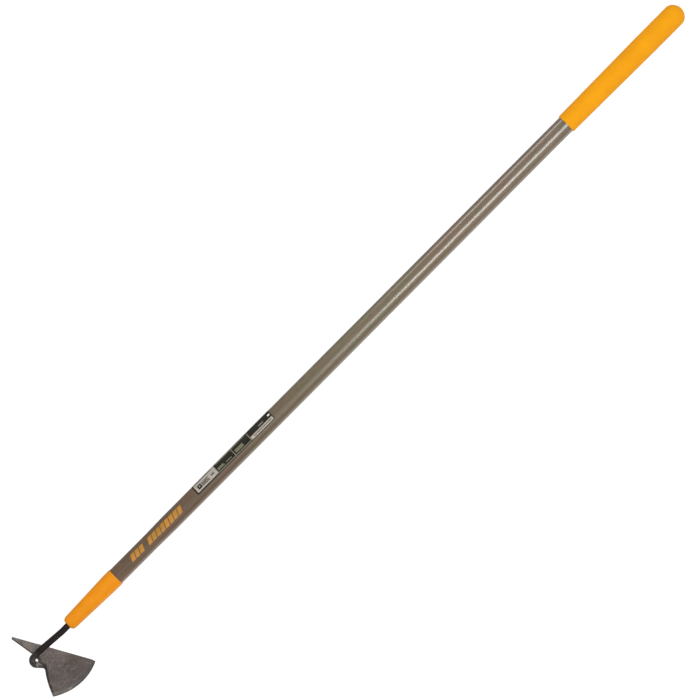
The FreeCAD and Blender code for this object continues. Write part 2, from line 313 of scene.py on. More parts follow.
# Where the blade is darkened: heat tint, paint and painted shade where the rod and weld meet it, painted
# shade along the fan's side, and a painted reflection that fades from the cutting edge's centre. Each
# mark fades in or out between two distances.
HEAT_AND_SHADE_RING = (4.5 * MM, 8.5 * MM)                    # from the hook's centre
LUG_HEAT_AND_SHADE_AWAY = (31 * MM, 35 * MM)                  # from the back edge
LUG_HEAT_AND_SHADE_ALONG = (60 * MM, 66 * MM)                 # from the spike's tip
FAN_SIDE_SHADE = (1.8 * MM, 3.4 * MM)                  # in from the fan's side
FAN_AWAY = (28 * MM, 34 * MM)                       # from the back edge
REFLECTION_FADE_OUTWARDS = (32 * MM, 62 * MM)                # from the cutting edge's centre


def print_share(finish):
    """1 on the slanted bars that are printed on the wood, 0 elsewhere."""
    turn = finish.math("ARCTAN2", finish.part("Y"), finish.part("Z"))
    up = finish.math("MULTIPLY_ADD", turn, HANDLE_RADIUS, -PRINT_MIDDLE)
    sheared = finish.math("MULTIPLY_ADD", up, -PRINT_SLANT, finish.part("X"))
    from_start = finish.math("SUBTRACT", sheared, PRINT_START)
    count = finish.math("DIVIDE", from_start, PRINT_PITCH)
    within = finish.math("FRACT", count)
    bar = finish.inside(within, BAR_FROM, BAR_TO, BAR_SOFT)
    number = finish.math("FLOOR", count)
    left_out = finish.math("COMPARE", number, PRINT_GAP_AT, 0.5)
    kept = finish.math("SUBTRACT", 1.0, left_out)
    tall = finish.inside(up, -PRINT_HEIGHT / 2, PRINT_HEIGHT / 2, 0.25 * MM)
    long = finish.inside(sheared, PRINT_START, PRINT_END, 0.3 * MM)
    worn = finish.spread(finish.noise(1500, detail=3, seed=3.0), 0.35, 0.50, 0.72, 0.94)
    share = bar
    for part in (kept, tall, long, worn):
        share = finish.math("MULTIPLY", share, part)
    return share


def wood_finish():
    """Ash, stained grey-brown and lacquered: warmer at the ferrule, greener in the middle."""
    finish = Finish("stained_ash", Coat_Weight=1.0, Coat_Roughness=0.21, Coat_IOR=1.5, IOR=1.45)
    base = finish.ramp(
        finish.spread(finish.part("X"), FERRULE_LENGTH, GRIP_START),
        [
            (0.0, linear(100, 76, 54)),
            (0.20, linear(98, 76, 56)),
            (0.38, linear(103, 89, 66)),
            (0.56, linear(107, 97, 74)),
            (0.72, linear(109, 93, 73)),
            (1.0, linear(109, 94, 77)),
        ],
    )
    patches = finish.noise(110, stretch=(5, 1, 1), detail=3, distortion=0.8, seed=5.0)
    tint = finish.ramp(
        patches,
        [
            (0.32, (0.88, 1.02, 0.84, 1)),
            (0.50, (1.0, 1.0, 1.0, 1)),
            (0.68, (1.11, 0.96, 0.94, 1)),
        ],
    )
    colour = finish.mix(1.0, base, tint, "MULTIPLY")

    # Growth rings, cut at a slight slope to the handle.
    rings = finish.nodes.new("ShaderNodeTexWave")
    rings.wave_type = "BANDS"
    rings.bands_direction = "Y"
    rings.inputs["Scale"].default_value = 1.0
    rings.inputs["Distortion"].default_value = 3.2
    rings.inputs["Detail"].default_value = 2.0
    rings.inputs["Detail Scale"].default_value = 0.6
    slope = finish.nodes.new("ShaderNodeMapping")
    slope.inputs["Rotation"].default_value = (0.9, 0.0, math.radians(0.5))
    slope.inputs["Scale"].default_value = (2.2, 105, 105)
    finish.links.new(finish.here, slope.inputs["Vector"])
    finish.links.new(slope.outputs["Vector"], rings.inputs["Vector"])
    ring_shade = finish.spread(rings.outputs["Fac"], 0.0, 1.0, 0.86, 1.10)
    colour = finish.mix(1.0, colour, ring_shade, "MULTIPLY")

    # Fibres and open pores.
    fibres = finish.noise(1000, stretch=(34, 1, 1), detail=4, roughness=0.65, seed=1.0)
    fibre_shade = finish.spread(fibres, 0.28, 0.72, 0.82, 1.16)
    colour = finish.mix(1.0, colour, fibre_shade, "MULTIPLY")

    pores = finish.noise(2100, stretch=(30, 1, 1), detail=1, seed=8.0)
    pore = finish.spread(pores, 0.30, 0.37, 1.0, 0.0)
    colour = finish.mix(finish.math("MULTIPLY", pore, 0.55), colour, linear(58, 46, 36))

    ink = print_share(finish)
    ink_colour = finish.ramp(
        finish.noise(60, stretch=(1.6, 1, 1), detail=3, seed=12.0),
        [(0.36, linear(172, 120, 6)), (0.50, linear(188, 128, 8)), (0.64, linear(206, 126, 10))],
    )
    colour = finish.mix(ink, colour, ink_colour)

    grain = finish.bump(fibres, 0.05 * MM, 0.6)
    grain = finish.bump(finish.math("MULTIPLY", pore, -1.0), 0.08 * MM, 0.7, grain)
    lacquer = finish.bump(finish.noise(240, stretch=(12, 1, 1), detail=2, seed=21.0), 0.35 * MM, 0.4)
    rough = finish.spread(fibres, 0.3, 0.7, 0.42, 0.6)
    return finish.use(Base_Color=colour, Roughness=rough, Normal=grain, Coat_Normal=lacquer)


def foam_finish():
    """Soft yellow foam with a closed, finely pebbled skin, its pits painted a little darker as painted
    shade.
    """
    finish = Finish("grip_foam_skin", Specular_IOR_Level=0.12)
    mottle = finish.noise(38, detail=4, seed=2.0)
    colour = finish.ramp(
        mottle,
        [(0.3, linear(212, 141, 8)), (0.5, linear(217, 144, 7)), (0.7, linear(221, 147, 8))],
    )
    cells = finish.nodes.new("ShaderNodeTexVoronoi")
    finish.links.new(finish.here, cells.inputs["Vector"])
    cells.inputs["Scale"].default_value = 1300
    # Painted shade: the skin's pits are painted a little darker.
    pit_shade = finish.spread(cells.outputs["Distance"], 0.1, 0.6, 0.94, 1.02)
    colour = finish.mix(1.0, colour, pit_shade, "MULTIPLY")
    skin = finish.bump(cells.outputs["Distance"], 0.10 * MM, 0.55)
    skin = finish.bump(finish.noise(110, detail=3, seed=9.0), 0.5 * MM, 0.35, skin)
    rough = finish.spread(finish.noise(300, seed=4.0), 0.3, 0.7, 0.66, 0.8)
    return finish.use(Base_Color=colour, Roughness=rough, Normal=skin)


def ferrule_finish():
    """Orange-yellow powder coat with a slight orange peel, darker and browner in a ragged band at the
    rim.
    """
    finish = Finish("ferrule_powder_coat", Specular_IOR_Level=0.25)
    cloud = finish.noise(60, detail=3, seed=6.0)
    colour = finish.ramp(
        cloud,
        [(0.3, linear(219, 134, 2)), (0.5, linear(224, 137, 2)), (0.7, linear(228, 140, 2))],
    )
    from_rim = finish.math("SUBTRACT", FERRULE_LENGTH, finish.part("X"))
    rim_noise = finish.math("MULTIPLY", finish.noise(500, seed=7.0), 1.3 * MM)
    rim = finish.spread(from_rim, 0.0, rim_noise, 1.0, 0.0)
    colour = finish.mix(finish.math("MULTIPLY", rim, 0.5), colour, linear(150, 96, 40))
    scuffs = finish.spread(finish.noise(260, stretch=(6, 1, 1), detail=5, seed=14.0), 0.66, 0.74)
    colour = finish.mix(finish.math("MULTIPLY", scuffs, 0.18), colour, linear(170, 112, 44))
    peel = finish.bump(finish.noise(700, detail=2, seed=3.0), 0.10 * MM, 0.35)
    rough = finish.spread(scuffs, 0.0, 1.0, 0.36, 0.55)
    return finish.use(Base_Color=colour, Roughness=rough, Normal=peel)


def neck_finish():
    """Satin black paint over forged rod, greyer round the hook, where bare metal shows and a highlight is
    painted.
    """
    finish = Finish("neck_black_paint", Specular_IOR_Level=0.3)
    cloud = finish.noise(160, detail=4, seed=2.0)
    colour = finish.ramp(cloud, [(0.3, linear(22, 16, 13)), (0.7, linear(38, 29, 25))])
    # Greyer round the hook: bare metal where the paint is worn, and a painted highlight.
    at_hook = finish.spread(finish.part("X"), HOOK_START.x + 12 * MM, HOOK_START.x - 4 * MM)
    worn_and_highlight = finish.math("MULTIPLY", at_hook, finish.spread(finish.noise(330, seed=5.0), 0.35, 0.65))
    colour = finish.mix(finish.math("MULTIPLY", worn_and_highlight, 0.85), colour, linear(76, 74, 69))
    scale = finish.noise(520, detail=4, seed=7.0)
    surface = finish.bump(scale, 0.22 * MM, 0.6)
    rough = finish.spread(scale, 0.3, 0.7, 0.36, 0.56)
    return finish.use(Base_Color=colour, Roughness=rough, Normal=surface)


def blade_heat_and_shade_share(finish, along, away):
    """How much the blade is darkened: heat tint, paint and painted shade round the hook and on the lug,
    where the rod and weld meet it, and painted shade along the fan's side.
    """
    # Heat tint with painted shade: darker round the hook, where the rod meets the plate.
    off_x = finish.math("SUBTRACT", finish.part("X"), HOOK_CENTRE.x)
    off_y = finish.math("SUBTRACT", finish.part("Y"), HOOK_CENTRE.y)
    ring = finish.spread(finish.reach(off_x, off_y), *HEAT_AND_SHADE_RING, 0.62, 0.0)

    # Heat tint with painted shade: darker on the lug, beside the weld.
    beyond_waist = finish.spread(away, *LUG_HEAT_AND_SHADE_AWAY)
    before_fan = finish.spread(along, *LUG_HEAT_AND_SHADE_ALONG, 1.0, 0.0)
    lug = finish.math("MULTIPLY", finish.math("MULTIPLY", beyond_waist, before_fan), 0.75)

    knee = on_plate(*FAN_KNEE)
    from_sides = []
    for start, end in ((ROOT, FAN_KNEE), (FAN_KNEE, FAN_HEEL)):
        side = (on_plate(*end) - on_plate(*start)).normalized()
        from_sides.append(finish.along(PLATE_UP.cross(side), knee))
    from_side = finish.math("MINIMUM", *from_sides)
    # Painted shade: a darker band along the fan's side, in from its edge.
    rolled = finish.spread(from_side, *FAN_SIDE_SHADE, 0.90, 0.0)
    rolled = finish.math("MULTIPLY", rolled, finish.spread(away, *FAN_AWAY))

    return finish.math("MAXIMUM", finish.math("MAXIMUM", ring, lug), rolled)


def blade_scratches(finish, turn, out):
    """The grinding marks of the cutting edge, from its centre outwards."""
    lines = finish.nodes.new("ShaderNodeTexNoise")
    lines.noise_dimensions = "2D"
    lines.inputs["Scale"].default_value = 1.0
    lines.inputs["Detail"].default_value = 4.0
    joined = finish.nodes.new("ShaderNodeCombineXYZ")
    finish.links.new(finish.math("MULTIPLY", turn, 260.0), joined.inputs["X"])
    finish.links.new(finish.math("MULTIPLY", out, 160.0), joined.inputs["Y"])
    finish.links.new(joined.outputs["Vector"], lines.inputs["Vector"])
    return lines.outputs["Fac"]


def blade_finish():
    """Heat-treated steel plate under clear lacquer: mottled warm grey, ground along the cutting edge,
    with a painted reflection that is lighter at the cutting edge's centre and darker outwards.
    """
    finish = Finish("blade_plate_steel", Metallic=0.45, Specular_IOR_Level=0.5)
    along = finish.along(ALONG, BACK_EDGE)
    away = finish.along(AWAY, BACK_EDGE)
    off_along = finish.math("SUBTRACT", along, CUTTING_CENTRE_ALONG)
    off_away = finish.math("SUBTRACT", away, CUTTING_CENTRE_AWAY)
    out = finish.reach(off_along, off_away)

    cloud = finish.noise(48, detail=5, roughness=0.6, distortion=0.4, seed=4.0)
    fine = finish.noise(300, detail=4, roughness=0.7, seed=11.0)
    mottle = finish.math("MULTIPLY_ADD", cloud, 0.7, fine)
    colour = finish.ramp(
        finish.spread(mottle, 0.60, 1.10),
        [(0.0, linear(92, 83, 79)), (0.5, linear(114, 104, 100)), (1.0, linear(137, 127, 122))],
    )
    # Painted reflection: the plate is painted lighter at the cutting edge's centre and darker outwards.
    painted_reflection_fade = finish.spread(out, *REFLECTION_FADE_OUTWARDS, 1.20, 0.76)
    colour = finish.mix(1.0, colour, painted_reflection_fade, "MULTIPLY")
    # Heat tint, paint and painted shade round the hook and on the lug, and painted shade along the fan's
    # side.
    colour = finish.mix(blade_heat_and_shade_share(finish, along, away), colour, linear(44, 34, 30))

    bevel_start = CUTTING_RADIUS - BEVEL_WIDTH
    ground = finish.spread(out, bevel_start, bevel_start + 0.4 * MM)
    turn = finish.math("ARCTAN2", off_away, off_along)
    scratches = blade_scratches(finish, turn, out)
    bright = finish.ramp(scratches, [(0.35, linear(72, 67, 64)), (0.65, linear(98, 92, 88))])
    colour = finish.mix(ground, colour, bright)

    marks = finish.spread(finish.noise(240, stretch=(5, 1, 1), detail=5, seed=17.0), 0.60, 0.68)
    colour = finish.mix(finish.math("MULTIPLY", marks, 0.35), colour, linear(156, 147, 140))
    surface = finish.bump(cloud, 0.4 * MM, 0.3)
    surface = finish.bump(fine, 0.12 * MM, 0.5, surface)
    surface = finish.bump(finish.math("MULTIPLY", scratches, ground), 0.10 * MM, 0.6, surface)
    rough = finish.spread(fine, 0.3, 0.7, 0.40, 0.56)
    return finish.use(Base_Color=colour, Roughness=rough, Normal=surface)


def blade_side_shade_finish():
    """The plate's sheared sides: dark scale with a few worn spots, and painted shade that keeps them
    darker than the faces.
    """
    finish = Finish("blade_side_scale_and_shade", Specular_IOR_Level=0.25)
    cloud = finish.noise(300, detail=4, seed=9.0)
    colour = finish.ramp(cloud, [(0.35, linear(26, 22, 19)), (0.70, linear(58, 52, 46))])
    surface = finish.bump(cloud, 0.3 * MM, 0.5)
    return finish.use(Base_Color=colour, Roughness=0.55, Normal=surface)


def weld_finish():
    """Weld metal: lighter towards the hook's gap as a painted highlight, darker along the lug with heat,
    paint and painted shade.
    """
    finish = Finish("weld_metal", Metallic=0.2)
    cloud = finish.noise(330, detail=4, seed=3.0)
    # Painted highlight and shade: the weld is painted lighter towards the hook's gap and darker along the
    # lug.
    from_gap = finish.spread(finish.part("Y"), HOOK_CENTRE.y - 6 * MM, HOOK_CENTRE.y - 12 * MM)
    shade = finish.math("MULTIPLY_ADD", from_gap, -0.35, cloud)
    colour = finish.ramp(
        finish.spread(shade, 0.0, 0.45),
        [(0.15, linear(40, 32, 28)), (0.50, linear(70, 64, 58)), (0.90, linear(120, 116, 111))],
    )
    surface = finish.bump(finish.noise(900, detail=3, seed=5.0), 0.15 * MM, 0.6)
    rough = finish.spread(cloud, 0.3, 0.7, 0.55, 0.38)
    return finish.use(Base_Color=colour, Roughness=rough, Normal=surface)


def pin_finish():
    """Zinc-plated rivet, dulled and lightly scratched."""
    finish = Finish("pin_zinc", Metallic=1.0)
    cloud = finish.noise(600, detail=4, seed=1.0)
    colour = finish.ramp(cloud, [(0.3, linear(120, 118, 114)), (0.7, linear(168, 167, 163))])
    surface = finish.bump(finish.noise(2500, stretch=(1, 6, 1), seed=2.0), 0.05 * MM, 0.5)
    rough = finish.spread(cloud, 0.3, 0.7, 0.5, 0.3)
    return finish.use(Base_Color=colour, Roughness=rough, Normal=surface)


def film_finish(name, colour, metallic, shade):
    """One ink or foil of the label, under a clear film."""
    finish = Finish(name, Metallic=metallic, Specular_IOR_Level=0.3, Coat_Weight=0.25, Coat_Roughness=0.3)
    cloud = finish.noise(190, detail=4, seed=6.0)
    speckle = finish.noise(2600, detail=2, seed=2.0)
    mixed = finish.math("MULTIPLY_ADD", speckle, 0.4, cloud)
    value = finish.spread(mixed, 0.4, 1.0, 1.0 - shade, 1.0 + shade)
    tinted = finish.mix(1.0, colour, value, "MULTIPLY")
    creases = finish.bump(finish.noise(120, stretch=(3, 1, 1), detail=3, seed=8.0), 0.25 * MM, 0.4)
    rough = finish.spread(speckle, 0.3, 0.7, 0.34, 0.5)
    return finish.use(Base_Color=tinted, Roughness=rough, Normal=creases)


# ---- meshes ----

GRIP_LIP_EVEN = 8.0 * MM        # the grip's unevenness sets in over this length
WELD_RIPPLE_PITCH = 1.5 * MM
WELD_RIPPLE_DEPTH = 0.14 * MM
WELD_ROUGH_SIZE = 2.2 * MM
WELD_ROUGH_DEPTH = 0.20 * MM
ROD_DENT_SIZE = 4.5 * MM
ROD_DENT_DEPTH = 0.09 * MM
PLATE_WAVE_SIZE = 22 * MM
PLATE_WAVE_DEPTH = 0.22 * MM
PLATE_WAVE_START = 4.8 * MM     # from the back edge, which stays straight on the floor
PLATE_WAVE_RISE = 12.0 * MM     # the waves grow to their full depth over this length


def link_mesh(name, bm, *materials):
    """Makes an object of a bmesh, and puts it in the scene."""
    mesh = bpy.data.meshes.new(name)
    bm.to_mesh(mesh)
    bm.free()
    for material in materials:
        mesh.materials.append(material)
    made = bpy.data.objects.new(name, mesh)
    bpy.context.collection.objects.link(made)
    return made


def add_piece(name, bm, materials, replaced):
    """Makes a piece of a bmesh, riding on the hoe's one body, in place of a CAD node."""
    bmesh.ops.recalc_face_normals(bm, faces=bm.faces)
    for face in bm.faces:
        face.smooth = True
    for edge in bm.edges:
        if len(edge.link_faces) == 2 and edge.calc_face_angle(0) > SHARP_ANGLE:
            edge.smooth = False
    piece = link_mesh(name, bm, *materials)
    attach(piece, "root")
    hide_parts(replaced)
    return piece


def run(start, end, step):
    """Points of a straight stretch of a profile, without its end point."""
    (x0, r0), (x1, r1) = start, end
    count = max(1, round(math.hypot(x1 - x0, r1 - r0) / step))
    return [(x0 + (x1 - x0) * k / count, r0 + (r1 - r0) * k / count) for k in range(count)]


def rounded(centre, reach_x, reach_r, start, end, steps):
    """Points of an elliptical stretch of a profile, between two angles in degrees from the axis."""
    points = []
    for k in range(steps + 1):
        turn = math.radians(start + (end - start) * k / steps)
        points.append((centre[0] + reach_x * math.cos(turn), centre[1] + reach_r * math.sin(turn)))
    return points


def bridge(bm, first, second):
    """Faces between two rings of points; a ring of one point is the tip of a fan."""
    count = max(len(first), len(second))
    for k in range(count):
        after = (k + 1) % count
        corners = [first[k % len(first)], first[after % len(first)]]
        corners += [second[after % len(second)], second[k % len(second)]]
        bm.faces.new(list(dict.fromkeys(corners)))


def lathe(profile, closed=False, dip=None):
    """A surface turned about the handle's axis from (x, radius) points, lowered by dip(x, turn)."""
    bm = bmesh.new()
    rings = []
    for x, radius in profile:
        ring = []
        for k in range(AROUND if radius > MERGED else 1):
            turn = math.tau * k / AROUND
            reach = radius - (dip(x, turn) if dip and radius > MERGED else 0)
            ring.append(bm.verts.new(on_axis(x, reach * math.sin(turn), reach * math.cos(turn))))
        rings.append(ring)
    for first, second in zip(rings, rings[1:]):
        bridge(bm, first, second)
    if closed:
        bridge(bm, rings[-1], rings[0])
    return bm


def uneven(depth, length, width, seed):
    """A dip that wanders between 0 and depth, over about length along and width round the handle."""
    def dip(x, turn):
        place = Vector((
            x / length,
            HANDLE_RADIUS * math.sin(turn) / width,
            HANDLE_RADIUS * math.cos(turn) / width + seed,
        ))
        return depth * min(max(0.5 + 0.6 * noise.noise(place), 0), 1)
    return dip


def make_shaft():
    """The wooden handle, from inside the ferrule to inside the grip."""
    nose = FERRULE_NOSE_RADIUS - FERRULE_WALL
    round_start = WOOD_END - WOOD_END_ROUND
    profile = [(WOOD_START, 0), (WOOD_START, nose - WOOD_NOSE_STEP)]
    stations = [
        (FERRULE_NOSE_ROUND, nose),
        (FERRULE_TAPER_END, HANDLE_FOOT_RADIUS),
        (FOOT_END, HANDLE_FOOT_RADIUS),
        (MAIN_RUN_START, HANDLE_RADIUS),
        (round_start, HANDLE_RADIUS),
    ]
    for start, end in zip(stations, stations[1:]):
        profile += run(start, end, 2 * LATHE_STEP)
    end_reach = HANDLE_RADIUS - WOOD_END_FACE
    profile += rounded((round_start, WOOD_END_FACE), WOOD_END_ROUND, end_reach, 90, 0, 8)
    profile.append((WOOD_END, 0))
    bm = lathe(profile, dip=uneven(0.12 * MM, 90 * MM, 9 * MM, 0.0))
    return add_piece("wood_handle", bm, [wood_finish()], "handle_shaft")


def grip_dome():
    """Points of the grip's end: a rounded corner that runs over into a shallow cap."""
    reach = GRIP_END - GRIP_DOME_START
    corner_centre = GRIP_RADIUS - GRIP_CORNER
    cap_radius = (reach ** 2 + corner_centre ** 2 - GRIP_CORNER ** 2) / (2 * (reach - GRIP_CORNER))
    cap_centre = GRIP_END - cap_radius
    meeting = math.degrees(math.atan2(corner_centre, GRIP_DOME_START - cap_centre))
    points = rounded((GRIP_DOME_START, corner_centre), GRIP_CORNER, GRIP_CORNER, 90, meeting, 18)[:-1]
    points += rounded((cap_centre, 0), cap_radius, cap_radius, meeting, 0, 12)[:-1]
    return points + [(GRIP_END, 0)]


def make_grip():
    """The cushion grip: a soft sleeve with a rolled lip and a domed end."""
    lip = (GRIP_START + GRIP_MOUTH_ROUND, GRIP_MOUTH_RADIUS - GRIP_MOUTH_ROUND)
    wood_side = WOOD_END - WOOD_END_ROUND
    edge = 0.5 * MM
    profile = run((GRIP_START + edge, HANDLE_RADIUS), (GRIP_START, HANDLE_RADIUS + edge), 0.3 * MM)
    profile += rounded(lip, GRIP_MOUTH_ROUND, GRIP_MOUTH_ROUND, 180, 90, 8)
    flare_start = (lip[0] + 1.5 * MM, GRIP_MOUTH_RADIUS)
    profile += run(flare_start, (GRIP_STRAIGHT_START, GRIP_RADIUS), LATHE_STEP)
    profile += run((GRIP_STRAIGHT_START, GRIP_RADIUS), (GRIP_DOME_START, GRIP_RADIUS), LATHE_STEP)
    profile += grip_dome()
    outside = len(profile)
    profile.append((WOOD_END, 0))
    end_reach = HANDLE_RADIUS - WOOD_END_FACE
    profile += rounded((wood_side, WOOD_END_FACE), WOOD_END_ROUND, end_reach, 0, 90, 8)
    profile += run((wood_side - 1 * MM, HANDLE_RADIUS), (GRIP_START + edge, HANDLE_RADIUS), 30 * MM)
    soft = uneven(0.22 * MM, 34 * MM, 14 * MM, 7.0)

    def dip(x, turn):
        return soft(x, turn) * min(1, max(0, (x - GRIP_START) / GRIP_LIP_EVEN))

    # The bore fits the wood, so it is turned without the dip and then joined on.
    shell = lathe(profile[:outside], dip=dip)
    bore = lathe(profile[outside:] + [profile[0]])
    bore_mesh = bpy.data.meshes.new("bore")
    bore.to_mesh(bore_mesh)
    bore.free()
    shell.from_mesh(bore_mesh)
    bpy.data.meshes.remove(bore_mesh)
    bmesh.ops.remove_doubles(shell, verts=shell.verts, dist=MERGED)
    piece = add_piece("foam_grip", shell, [foam_finish()], "cushion_grip")
    return piece


def make_ferrule():
    """The painted steel ferrule: rounded nose, taper, collar and a softened rim."""
    edge = 0.4 * MM
    hole = NECK_RADIUS + 0.2 * MM
    nose_inside = FERRULE_NOSE_RADIUS - FERRULE_WALL
    round_x = FERRULE_NOSE_ROUND
    reach = FERRULE_NOSE_RADIUS - FERRULE_FACE_RADIUS
    profile = run((edge, hole), (0, FERRULE_FACE_RADIUS), 0.6 * MM)
    profile += rounded((round_x, FERRULE_FACE_RADIUS), round_x, reach, 180, 90, 14)
    taper = run((round_x, FERRULE_NOSE_RADIUS), (FERRULE_TAPER_END, FERRULE_RADIUS), LATHE_STEP)
    profile += taper[1:]
    collar_end = FERRULE_LENGTH - edge
    profile += run((FERRULE_TAPER_END, FERRULE_RADIUS), (collar_end, FERRULE_RADIUS), LATHE_STEP)
    profile += rounded((collar_end, FERRULE_RADIUS - edge), edge, edge, 90, 0, 5)
    profile += [(FERRULE_LENGTH, HANDLE_FOOT_RADIUS), (FERRULE_TAPER_END, HANDLE_FOOT_RADIUS)]
    profile += [(round_x, nose_inside), (WOOD_START, nose_inside - WOOD_NOSE_STEP)]
    profile.append((WOOD_START, hole))
    bm = lathe(profile, closed=True)
    return add_piece("painted_ferrule", bm, [ferrule_finish()], "ferrule")


def hook_point(turn):
    """A point of the hook's centre line, and its direction, after an angle of turn."""
    towards_spike = (HOOK_START - HOOK_CENTRE).normalized()
    forward = Vector((1, 0, 0))
    spoke = towards_spike * math.cos(turn) - forward * math.sin(turn)
    point = HOOK_CENTRE + spoke * HOOK_RADIUS
    return point, -forward * math.cos(turn) - towards_spike * math.sin(turn)


def neck_end():
    """The end of the neck's centre line, where the weld starts."""
    point, direction = hook_point(HOOK_TURN)
    return point + direction * HOOK_TAIL


def bend(before, corner, after, steps):
    """Points of the tangent arc that rounds a corner of the neck."""
    arriving = (corner - before).normalized()
    leaving = (after - corner).normalized()
    half = arriving.angle(leaving) / 2
    start = corner - arriving * NECK_BEND_RADIUS * math.tan(half)
    inward = (leaving - arriving).normalized()
    centre = corner + inward * NECK_BEND_RADIUS / math.cos(half)
    axis = arriving.cross(leaving).normalized()
    spoke = start - centre
    return [centre + Matrix.Rotation(2 * half * k / steps, 3, axis) @ spoke for k in range(steps + 1)]


def straight(start, end, step):
    """Points between two others, without either."""
    count = max(1, round((end - start).length / step))
    return [start.lerp(end, k / count) for k in range(1, count)]


def neck_line():
    """The neck's centre line with its radius: tang, bends, hook and tail."""
    first, second = NECK_BENDS
    back = (ROD_START - first).normalized()
    tang_tip = ROD_START + back * TANG_LENGTH
    bends = [bend(ROD_START, first, second, 14), bend(first, second, HOOK_START, 14)]
    hook = [hook_point(HOOK_TURN * k / 28)[0] for k in range(29)]
    points = [ROD_START] + straight(ROD_START, bends[0][0], ROD_STEP) + bends[0]
    points += straight(bends[0][-1], bends[1][0], ROD_STEP) + bends[1]
    points += straight(bends[1][-1], hook[0], ROD_STEP) + hook + [neck_end()]
    return [(tang_tip, TANG_TIP_RADIUS)] + [(point, NECK_RADIUS) for point in points]


def make_neck():
    """The forged rod: a swept round section, a little uneven."""
    line = neck_line()
    bm = bmesh.new()
    rings = []
    side = Vector((0, 0, 1))
    for k, (point, radius) in enumerate(line):
        before = line[max(k - 1, 0)][0]
        after = line[min(k + 1, len(line) - 1)][0]
        direction = (after - before).normalized()
        side = (side - direction * side.dot(direction)).normalized()
        other = direction.cross(side)
        ring = []
        for step in range(ROD_AROUND):
            turn = math.tau * step / ROD_AROUND
            out = side * math.cos(turn) + other * math.sin(turn)
            place = point + out * radius
            dent = ROD_DENT_DEPTH * max(0, 0.5 + noise.noise(place / ROD_DENT_SIZE))
            ring.append(bm.verts.new(AXIS + point + out * (radius - dent)))
        rings.append(ring)
    for first, second in zip(rings, rings[1:]):
        bridge(bm, first, second)
    for ring, point in ((rings[0], line[0][0]), (rings[-1], line[-1][0])):
        bridge(bm, ring, [bm.verts.new(AXIS + point)])
    return add_piece("forged_neck", bm, [neck_finish()], "neck")


def evaluated(piece):
    """A bmesh of an object with its modifiers applied; the object is removed."""
    graph = bpy.context.evaluated_depsgraph_get()
    mesh = bpy.data.meshes.new_from_object(piece.evaluated_get(graph))
    bm = bmesh.new()
    bm.from_mesh(mesh)
    old = piece.data
    bpy.data.objects.remove(piece)
    bpy.data.meshes.remove(mesh)
    bpy.data.meshes.remove(old)
    return bm


def make_weld():
    """The weld bead: lumps of metal with the ripples of the pass that laid them."""
    end = neck_end()
    bm = bmesh.new()
    for offset, radius in WELD_LUMPS:
        place = Matrix.Translation(AXIS + end + offset)
        bmesh.ops.create_icosphere(bm, subdivisions=4, radius=radius, matrix=place)
    blank = link_mesh("weld_blank", bm)
    remesh = blank.modifiers.new("skin", "REMESH")
    remesh.mode = "VOXEL"
    remesh.voxel_size = 0.3 * MM
    relax = blank.modifiers.new("relax", "SMOOTH")
    relax.factor = 0.5
    relax.iterations = 6
    bm = evaluated(blank)
    start = AXIS + end + WELD_LUMPS[0][0]
    pass_direction = (WELD_LUMPS[2][0] - WELD_LUMPS[0][0]).normalized()
    for vertex in bm.verts:
        from_start = vertex.co - start
        travelled = from_start.dot(pass_direction)
        aside = (from_start - pass_direction * travelled).length
        ripple = 1 + math.sin((travelled + aside * 0.6) / WELD_RIPPLE_PITCH * math.tau)
        rough = 1 + noise.noise(vertex.co / WELD_ROUGH_SIZE)
        vertex.co -= vertex.normal * (WELD_RIPPLE_DEPTH * ripple + WELD_ROUGH_DEPTH * rough)
    return add_piece("weld", bm, [weld_finish()], "weld_bead")


def make_blade():
    """The plate with softened edges, cut into a fine grid and left very slightly uneven."""
    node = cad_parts["blade"].data
    bm = bmesh.new()
    corners = [bm.verts.new(vertex.co) for vertex in node.vertices]
    for polygon in node.polygons:
        bm.faces.new([corners[k] for k in polygon.vertices])
    bmesh.ops.remove_doubles(bm, verts=bm.verts, dist=MERGED)
    bmesh.ops.dissolve_limit(bm, angle_limit=math.radians(0.2), verts=bm.verts, edges=bm.edges)
    hard = [edge for edge in bm.edges if edge.calc_face_angle(0) > CREASE_ANGLE]
    bmesh.ops.bevel(bm, geom=hard, offset=0.3 * MM, segments=3, profile=0.5, affect="EDGES")
    # A grid of cuts across the flat faces, so that they can wave.
    for direction, reach in ((ALONG, 140 * MM), (AWAY, 97 * MM)):
        for k in range(-1, int(reach / GRID_STEP) + 1):
            place = BACK_EDGE + direction * (k * GRID_STEP)
            geometry = bm.verts[:] + bm.edges[:] + bm.faces[:]
            bmesh.ops.bisect_plane(bm, geom=geometry, dist=MERGED, plane_co=place, plane_no=direction)
    for vertex in bm.verts:
        from_edge = (vertex.co - BACK_EDGE).dot(AWAY)
        share = min(1, max(0, (from_edge - PLATE_WAVE_START) / PLATE_WAVE_RISE))
        vertex.co += PLATE_UP * (PLATE_WAVE_DEPTH * share * noise.noise(vertex.co / PLATE_WAVE_SIZE))
    bm.normal_update()
    for face in bm.faces:
        # The sides get their own darker material: dark scale and painted shade on the plate's thickness.
        face.material_index = 1 if abs(face.normal.dot(PLATE_UP)) < SIDE_SHARE else 0
    return add_piece("plate_blade", bm, [blade_finish(), blade_side_shade_finish()], "blade")


# ---- the label: rectangles of (start, end, low, high, ink), from one of its corners ----

SILVER, BLACK, GREY, WHITE, DARK = range(5)


def rows(start, end, low, high, count, ink, chance):
    """Plain unbroken lines side by side, with ragged ends, none of them lettering."""
    rectangles = []
    pitch = (high - low) / count
    for row in range(count):
        base = low + row * pitch
        stop = end - chance.uniform(0, 0.3) * (end - start)
        rectangles.append((start, stop, base + pitch * 0.2, base + pitch * 0.8, ink))
    return rectangles


